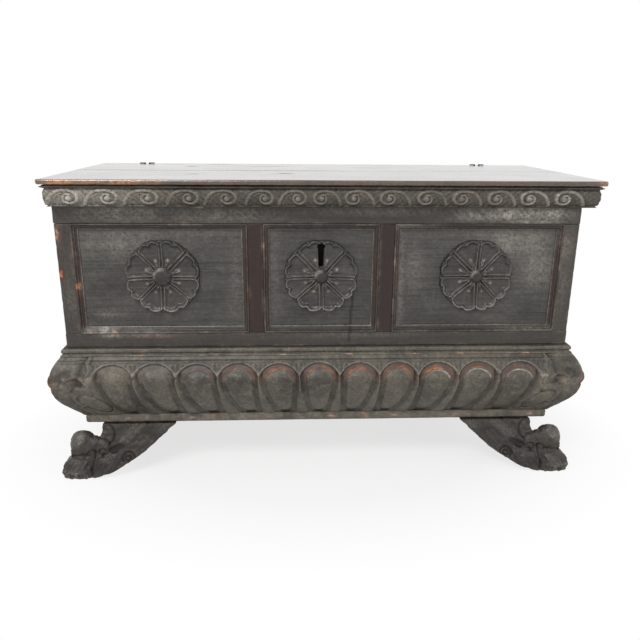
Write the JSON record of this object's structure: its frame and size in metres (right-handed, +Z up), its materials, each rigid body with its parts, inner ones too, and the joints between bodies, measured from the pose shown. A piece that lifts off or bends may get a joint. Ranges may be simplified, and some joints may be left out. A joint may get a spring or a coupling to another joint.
{
  "type": "cassone chest",
  "caption": "Italian carved walnut chest with a hinged lid, rosette panels, gadrooned base and lion-paw feet",
  "frame": {"origin": "on the floor, under the centre of the whole chest", "axes": "+X to the right along the front as one faces it, +Y to the back, +Z up"},
  "size_m": [1.236, 0.52, 0.71],
  "materials": {
    "carved_walnut": "aged dark walnut, waxed and worn at the edges",
    "inner_walnut": "plain sawn walnut, unpolished",
    "forged_iron": "hand-forged iron, dark and slightly rusted"
  },
  "bodies": {
    "chest": {"back_boards": "inner_walnut", "base_bead_front": "carved_walnut", "base_bead_left": "carved_walnut", "base_bead_right": "carved_walnut", "base_board_front": "inner_walnut", "base_board_left": "inner_walnut", "base_board_right": "inner_walnut", "base_fillet_front": "carved_walnut", "base_fillet_left": "carved_walnut", "base_fillet_right": "carved_walnut", "bottom_boards": "inner_walnut", "foot_back_left": "carved_walnut", "foot_back_right": "carved_walnut", "foot_front_left": "carved_walnut", "foot_front_right": "carved_walnut", "front_bottom_rail": "carved_walnut", "front_muntin_left": "carved_walnut", "front_muntin_right": "carved_walnut", "front_panel_centre": "carved_walnut", "front_panel_left": "carved_walnut", "front_panel_right": "carved_walnut", "front_stile_left": "carved_walnut", "front_stile_right": "carved_walnut", "front_top_rail": "carved_walnut", "gadroon_front": "carved_walnut", "gadroon_left": "carved_walnut", "gadroon_right": "carved_walnut", "hinge_eyes": "forged_iron", "lock_cover": "forged_iron", "lock_nails": "forged_iron", "lock_plate": "forged_iron", "panel_moulding_centre": "carved_walnut", "panel_moulding_left": "carved_walnut", "panel_moulding_right": "carved_walnut", "rosette_centre": "carved_walnut", "rosette_left": "carved_walnut", "rosette_right": "carved_walnut", "side_bottom_rail_left": "carved_walnut", "side_bottom_rail_right": "carved_walnut", "side_moulding_left": "carved_walnut", "side_moulding_right": "carved_walnut", "side_panel_left": "carved_walnut", "side_panel_right": "carved_walnut", "side_stiles_left": "carved_walnut", "side_stiles_right": "carved_walnut", "side_top_rail_left": "carved_walnut", "side_top_rail_right": "carved_walnut"},
    "lid": {"hasp_nails": "forged_iron", "hinge_staples": "forged_iron", "lid_back_rail": "inner_walnut", "lid_frieze_front": "carved_walnut", "lid_frieze_left": "carved_walnut", "lid_frieze_right": "carved_walnut", "lid_hasp": "forged_iron", "lid_plank_back": "carved_walnut", "lid_plank_front": "carved_walnut"},
    "lock_bolt": {"lock_bolt": "forged_iron"}
  },
  "joints": [
    {"name": "lid_hinge", "type": "hinge", "parent": "chest", "child": "lid", "pos_m": [0, 0.248, 0.642], "axis": [-1, 0, 0], "range_deg": [0, 100]},
    {"name": "lock_bolt_slide", "type": "slide", "parent": "chest", "child": "lock_bolt", "axis": [1, 0, 0], "range_m": [0, 0.024]}
  ]
}
